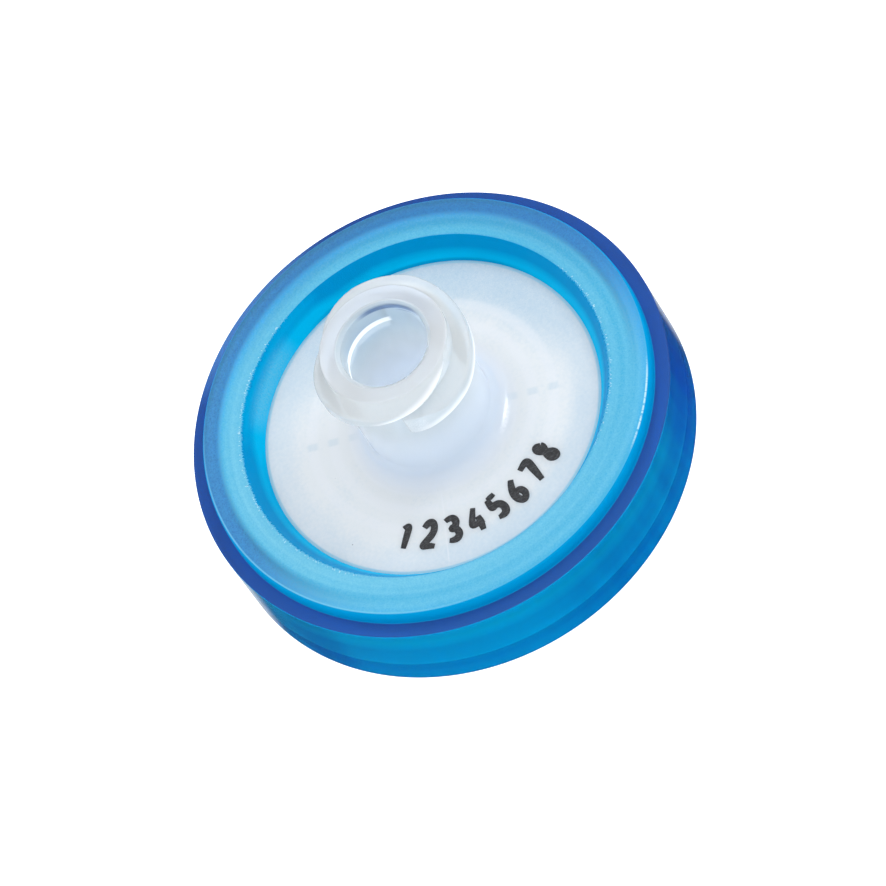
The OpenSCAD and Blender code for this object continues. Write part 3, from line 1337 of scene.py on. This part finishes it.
@dataclass
class InletShell(Piece):
    """The upper shell: a plate with a hub, a tapered socket and two helical lugs."""

    name: str = "clear_inlet_shell"
    node: Optional[str] = "inlet_shell"
    slot: str = "clear_shell"
    hub_r: float = 3.15
    hub_fillet: float = 0.93
    fillet_steps: int = 12
    hub_round: float = 0.1
    socket_r: float = 2.15
    socket_depth: float = 7.9
    lead_in: float = 0.22
    port_r: float = 1.0
    taper: float = 0.06
    clamp_r: float = 8.79
    rib_h: float = 0.25
    channel_w: float = 0.6
    channel_edge: float = 0.05
    channels: int = 4
    lug_bevel: float = 0.45
    bevel_round: float = 0.08
    lug_zone: float = 2.95
    lug_rows: int = 72
    rim_row: float = 0.02
    steps: int = 400

    def shape(self) -> bmesh.types.BMesh:
        """Turn the shell's section, then push the lugs out and cut the channels.

        Returns:
            The mesh.
        """
        under, face, rim = LEVELS.inlet_under, LEVELS.inlet_face, LEVELS.rim
        socket_floor, film = rim - self.socket_depth, LEVELS.membrane_high
        floor_r = self.socket_r - self.taper / 2 * (self.socket_depth - self.lead_in)
        hub_r, fillet, edge = self.hub_r, self.hub_fillet, self.hub_round
        outline = Outline().to((self.port_r, under))
        for inner, outer in rib_radii():
            low = under - self.rib_h
            outline.to((inner, under), (inner, low), (outer, low), (outer, under))
        outline.to(
            (CHAMBER_R, under),
            (CHAMBER_R, film),
            (self.clamp_r, film),
            (self.clamp_r, under),
            (LEVELS.shell_r, under),
            (LEVELS.shell_r, face),
        )
        outline.arc(hub_r + fillet, face + fillet, fillet, 270, 180, self.fillet_steps)
        outline.rows(hub_r, rim - self.lug_zone, rim - edge - self.rim_row, self.lug_rows)
        outline.arc(hub_r - edge, rim - edge, edge, 0, 90)
        outline.to(
            (self.socket_r + self.lead_in, rim),
            (self.socket_r, rim - self.lead_in),
            (floor_r, socket_floor),
            (self.port_r, socket_floor),
        )
        shape = outline.turned(self.steps)
        self.raise_lugs(shape)
        self.cut_channels(shape)
        return shape

    def raise_lugs(self, shape: bmesh.types.BMesh, near: float = 1e-6) -> None:
        """Move the hub's wall out to the lugs' surface.

        Args:
            shape: The turned shell.
            near: How far below the zone of the lugs a point may lie.
        """
        lugs = Lug.pair()
        low = LEVELS.rim - self.lug_zone - near
        edge_r = self.hub_r - self.hub_round
        spread = lugs[0].crest_r - edge_r
        for vert in shape.verts:
            radius = vert.co.xy.length
            if vert.co.z < low or radius < edge_r + 100 * near:
                continue
            below = vert.co.z - LEVELS.rim
            pushed = max(lug.radius(compass(vert.co), below) for lug in lugs)
            bevel = edge_r - below * spread / self.lug_bevel
            pushed = max(radius, smooth_min(pushed, bevel, self.bevel_round))
            vert.co.xy *= pushed / radius

    def cut_channels(self, shape: bmesh.types.BMesh, near: float = 1e-4) -> None:
        """Lift the ribs' undersides where a radial channel crosses them.

        Args:
            shape: The turned shell.
            near: How far from the undersides' height a point may lie.
        """
        low = LEVELS.inlet_under - self.rib_h
        pitch, half = TURN / self.channels, self.channel_w / 2
        for vert in shape.verts:
            radius = vert.co.xy.length
            if abs(vert.co.z - low) > near or radius > CHAMBER_R - 100 * near:
                continue
            off = (compass(vert.co) - CHANNEL_TURN + pitch / 2) % pitch - pitch / 2
            across = abs(radius * math.sin(math.radians(off)))
            borders = -half - self.channel_edge, -half + self.channel_edge
            vert.co.z += self.rib_h * smooth_step(-across, *borders)

    def material(self) -> bpy.types.Material:
        """Dress the shell in milky plastic."""
        return MilkyPlastic().material("milky_inlet")


@dataclass
class OutletShell(Piece):
    """The lower shell: a plate with channels, a rim and the tapered slip nozzle."""

    name: str = "clear_outlet_shell"
    node: Optional[str] = "outlet_shell"
    slot: str = "clear_shell"
    tip_r: float = 1.98
    tip_h: float = 8.15
    tip_round: float = 0.12
    taper: float = 0.06
    collar_r: float = 3.0
    collar_round: float = 0.35
    collar_fillet: float = 0.8
    bore_r: float = 1.1
    bore_top_r: float = 0.85
    plate_t: float = 1.1
    rim_w: float = 1.6
    steps: int = 360

    def shape(self) -> bmesh.types.BMesh:
        """Turn the shell's section.

        Returns:
            The mesh.
        """
        face, under, film = LEVELS.outlet_face, LEVELS.inlet_under, LEVELS.membrane_low
        tip, collar, fillet = self.tip_round, self.collar_round, self.collar_fillet
        channel, pocket_r = face + self.plate_t, LEVELS.shell_r - self.rim_w
        outline = Outline().to((self.bore_r, 0.0))
        outline.arc(self.tip_r - tip, tip, tip, -90, 0)
        outline.to((self.tip_r + self.taper / 2 * self.tip_h, self.tip_h))
        outline.arc(self.collar_r - collar, self.tip_h + collar, collar, -90, 0)
        outline.arc(self.collar_r + fillet, face - fillet, fillet, 180, 90)
        outline.to(
            (LEVELS.shell_r, face),
            (LEVELS.shell_r, under),
            (pocket_r, under),
            (pocket_r, film),
            (CHAMBER_R, film),
            (CHAMBER_R, channel),
        )
        for inner, outer in reversed(rib_radii()):
            outline.to((outer, channel), (outer, film), (inner, film), (inner, channel))
        outline.to((self.bore_top_r, channel))
        return outline.turned(self.steps)

    def material(self) -> bpy.types.Material:
        """Dress the shell in milky plastic."""
        return MilkyPlastic().material("milky_outlet")


@dataclass
class InkNumbers(Piece):
    """A plain series of numbers, inked by hand round the inlet face."""

    name: str = "ink_numbers"
    node: Optional[str] = None
    slot: str = "clear_shell"
    radius: float = 6.25
    first_turn: float = 228.0
    last_turn: float = 303.0
    lean: float = 7.0
    off_circle: float = 0.05
    height: float = 1.32
    width: float = 0.80
    middle: tuple[float, float] = (0.45, 0.5)
    shake: tuple[float, float] = (0.025, 0.02)
    pen_r: float = 0.185
    pen_range: tuple[float, float] = (0.88, 1.14)
    pen_end: float = 0.72
    pen_facets: int = 3
    bend_steps: int = 6
    film: float = 0.012
    weld: float = 1e-5
    seed: int = 7

    # The strokes of each number, across and up in per cent of its width and height
    STROKES = {
        1: [[(22, 76), (52, 100), (50, 50), (52, 0)]],
        2: [[(10, 76), (28, 97), (60, 98), (76, 76), (60, 48),
             (28, 22), (8, 3), (45, 5), (86, 2)]],
        3: [[(10, 90), (42, 100), (72, 84), (62, 58), (34, 53),
             (68, 44), (78, 20), (48, 0), (8, 8)]],
        4: [[(52, 100), (28, 64), (6, 34), (48, 33), (88, 36)],
            [(64, 62), (64, 30), (62, 0)]],
        5: [[(22, 98), (20, 74), (16, 54), (46, 60), (76, 42),
             (70, 12), (40, 0), (8, 8)],
            [(22, 98), (52, 97), (80, 100)]],
        6: [[(66, 100), (34, 76), (14, 40), (20, 10), (48, 0),
             (76, 16), (72, 42), (46, 52), (18, 36)]],
        7: [[(8, 95), (46, 97), (84, 98), (60, 52), (38, 0)]],
        8: [[(66, 86), (42, 100), (20, 80), (42, 54), (74, 28),
             (50, 0), (16, 18), (40, 52), (70, 76), (66, 86)]],
    }

    def stroke(self, points: Stroke, dice: random.Random) -> list[tuple]:
        """Shake a stroke's points a little, and give each its pen width.

        Args:
            points: The stroke's points.
            dice: Where the shakes come from.

        Returns:
            The points across and up in millimetres, with the pen's share of its width.
        """
        (across_mid, up_mid), (across_shake, up_shake) = self.middle, self.shake
        ends = (0, len(points) - 1)
        return [
            (
                (across / 100 - across_mid + dice.uniform(-across_shake, across_shake)) * self.width,
                (up / 100 - up_mid + dice.uniform(-up_shake, up_shake)) * self.height,
                (self.pen_end if index in ends else 1.0) * dice.uniform(*self.pen_range),
            )
            for index, (across, up) in enumerate(points)
        ]

    def number(self, strokes: list[Stroke], dice: random.Random) -> bpy.types.Mesh:
        """Draw one number as round strokes on the level plane.

        Args:
            strokes: The points of each of its strokes.
            dice: Where the shakes come from.

        Returns:
            Its mesh.
        """
        curve = bpy.data.curves.new("stroke", "CURVE")
        curve.dimensions = "3D"
        curve.bevel_depth = self.pen_r
        curve.bevel_resolution = self.pen_facets
        curve.resolution_u = self.bend_steps
        curve.use_fill_caps = True
        for points in strokes:
            spline = curve.splines.new("NURBS")
            spline.points.add(len(points) - 1)
            spline.use_endpoint_u = True
            spline.order_u = 3
            for point, (across, up, pen) in zip(spline.points, self.stroke(points, dice)):
                point.co = (across, up, 0.0, 1.0)
                point.radius = pen
        holder = place("stroke", curve)
        bpy.context.view_layer.update()
        mesh = bpy.data.meshes.new_from_object(holder)
        bpy.data.objects.remove(holder)
        bpy.data.curves.remove(curve)
        return mesh

    def shape(self) -> bmesh.types.BMesh:
        """Ink every number on the inlet face.

        Returns:
            One mesh that holds all the numbers.
        """
        dice = random.Random(self.seed)
        gather = bmesh.new()
        numbers = sorted(self.STROKES)
        for index, number in enumerate(numbers):
            share = index / (len(numbers) - 1)
            azimuth = self.first_turn + (self.last_turn - self.first_turn) * share
            lean = dice.uniform(-self.lean, self.lean)
            mesh = self.number(self.STROKES[number], dice)
            away = self.radius + dice.uniform(-self.off_circle, self.off_circle)
            mesh.transform(
                Matrix.Rotation(math.radians(azimuth), 4, "Z")
                @ Matrix.Translation((away, 0, LEVELS.inlet_face))
                @ Matrix.Rotation(math.radians(TURN / 4 + lean), 4, "Z")
                @ Matrix.Diagonal((1, 1, self.film / self.pen_r, 1))
            )
            gather.from_mesh(mesh)
            bpy.data.meshes.remove(mesh)
        bmesh.ops.remove_doubles(gather, verts=gather.verts[:], dist=self.weld)
        for face in gather.faces:
            face.smooth = True
        return gather

    def material(self) -> bpy.types.Material:
        """Ink the numbers black."""
        return BLACK_INK.material()


# ---------------------------------------------------------------- studio


class Ray(Enum):
    """The rays for which the surroundings have a brightness of their own."""

    GLOSSY = "Is Glossy Ray"
    CAMERA = "Is Camera Ray"


@dataclass(frozen=True)
class Fade:
    """A brightness that changes smoothly from a low direction to a high one."""

    low: float
    high: float
    below: float
    above: float

    def over(self, upward: Signal) -> Signal:
        """Spread the brightness over the directions, from -1 downwards to 1 upwards."""
        return self.below + (self.above - self.below) * upward.step(self.low, self.high)


@dataclass(frozen=True)
class SoftBox:
    """A square or oblong area light that points at the filter, with sizes in metres."""

    name: str
    azimuth: float
    elevation: float
    distance: float
    size: tuple[float, float]
    radiance: float

    def build(self, target: Vector) -> bpy.types.Object:
        """Place the light round a target point.

        Args:
            target: The point that it shines on, in metres.

        Returns:
            The light.
        """
        light = bpy.data.lights.new(self.name, "AREA")
        light.shape = "RECTANGLE"
        light.size, light.size_y = self.size
        light.energy = self.radiance * math.pi * self.size[0] * self.size[1]
        holder = place(self.name, light)
        turn, tilt = math.radians(self.azimuth), math.radians(self.elevation)
        level = math.cos(tilt)
        toward = Vector((math.cos(turn) * level, math.sin(turn) * level, math.sin(tilt)))
        holder.location = target + toward * self.distance
        holder.rotation_euler = toward.to_track_quat("Z", "Y").to_euler()
        holder.visible_camera = False
        return holder


@dataclass
class Studio:
    """The floor, the lights, the surroundings and the camera."""

    floor_r: float = 3.0  # in metres
    floor_grey: float = 0.9
    floor_glow: float = 0.6
    surroundings: Fade = Fade(-0.3, 0.6, 1.25, 1.10)
    in_gloss: Fade = Fade(-0.2, 0.8, 0.03, 0.85)
    to_camera: float = 1.0
    glare: Fade = Fade(0.495, 0.565, 0.0, 0.75)
    glare_floor: Fade = Fade(-0.6, -0.4, 1.0, 0.0)
    glare_slant: float = -0.03
    elevation: float = 55.78
    roll: float = 34.71
    distance: float = 0.8  # in metres
    lens: float = 693.0
    sensor: float = 36.0
    clip: tuple[float, float] = (0.01, 20.0)
    target_drop: float = 0.87
    frame_shift: tuple[float, float] = (0.59, -1.40)
    lights: tuple[SoftBox, ...] = (
        SoftBox("key", 8.0, 46.0, 0.35, (0.11, 0.07), 8.0),
        SoftBox("top", 100.0, 80.0, 0.35, (0.15, 0.15), 2.0),
    )

    def build_floor(self) -> bpy.types.Object:
        """Lay the pale floor that the filter stands on.

        Returns:
            The floor.
        """
        disc = bmesh.new()
        bmesh.ops.create_circle(disc, cap_ends=True, segments=96, radius=self.floor_r)
        board = Board("pale_floor")
        shader = board.principled({
            "Base Color": (self.floor_grey,) * 3,
            "Roughness": 0.9,
            "Specular IOR Level": 0.0,
            "Emission Color": WHITE,
            "Emission Strength": self.floor_glow,
        })
        floor = place_mesh("studio_floor", disc, board.finish(shader))
        floor.visible_glossy = False
        return floor

    def build_world(self) -> None:
        """Surround the filter with even white light, and a glare that gloss picks up."""
        world = bpy.data.worlds.new("studio")
        board = Board(world)
        x, y, z = board.split(board.add("ShaderNodeTexCoord").outputs["Generated"])
        rays = board.add("ShaderNodeLightPath").outputs
        glare = self.glare.over(x * self.glare_slant + y) * self.glare_floor.over(z)
        level: Number = self.surroundings.over(z)
        for ray, own in (
            (Ray.GLOSSY, self.in_gloss.over(z) + glare), (Ray.CAMERA, self.to_camera)
        ):
            values = {"Factor": rays[ray.value], "A": level, "B": own}
            level = board.signal("ShaderNodeMix", None, values, "Result")
        light = board.add("ShaderNodeBackground", None, {"Color": WHITE, "Strength": level})
        bpy.context.scene.world = board.finish(light.outputs[0], output="ShaderNodeOutputWorld")

    def build_camera(self) -> bpy.types.Object:
        """Set up the camera, which looks down at the inlet with its horizon rolled.

        Returns:
            The camera.
        """
        camera = bpy.data.cameras.new("camera")
        camera.lens = self.lens
        camera.sensor_width = self.sensor
        camera.clip_start, camera.clip_end = self.clip
        holder = place("camera", camera)
        target = Vector((0, 0, (LEVELS.land - self.target_drop) * MM))
        tilt = math.radians(self.elevation)
        toward = Vector((0, -math.cos(tilt), math.sin(tilt)))
        turn = toward.to_track_quat("Z", "Y").to_matrix().to_4x4()
        turn = turn @ Matrix.Rotation(-math.radians(self.roll), 4, "Z")
        shift = turn @ Vector((*self.frame_shift, 0)) * MM
        holder.matrix_world = Matrix.Translation(target + toward * self.distance + shift) @ turn
        bpy.context.scene.camera = holder
        return holder

    def build(self) -> None:
        """Set up the whole studio."""
        self.build_floor()
        self.build_world()
        self.build_camera()
        target = Vector((0, 0, LEVELS.inlet_face * MM))
        for light in self.lights:
            light.build(target)
        bpy.context.scene.view_settings.view_transform = "Standard"


def main() -> None:
    """Build the studio and every piece of the filter."""
    logging.basicConfig(level=logging.INFO, format="%(message)s")
    Studio().build()
    for piece in (BlueRing(), InletShell(), OutletShell(), InkNumbers()):
        piece.build()
    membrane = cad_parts["membrane"]
    membrane.data.materials.clear()
    membrane.data.materials.append(POROUS_FILM.material())
    log.info("membrane: the packed node in its own finish")


if __name__ == "__main__":
    main()
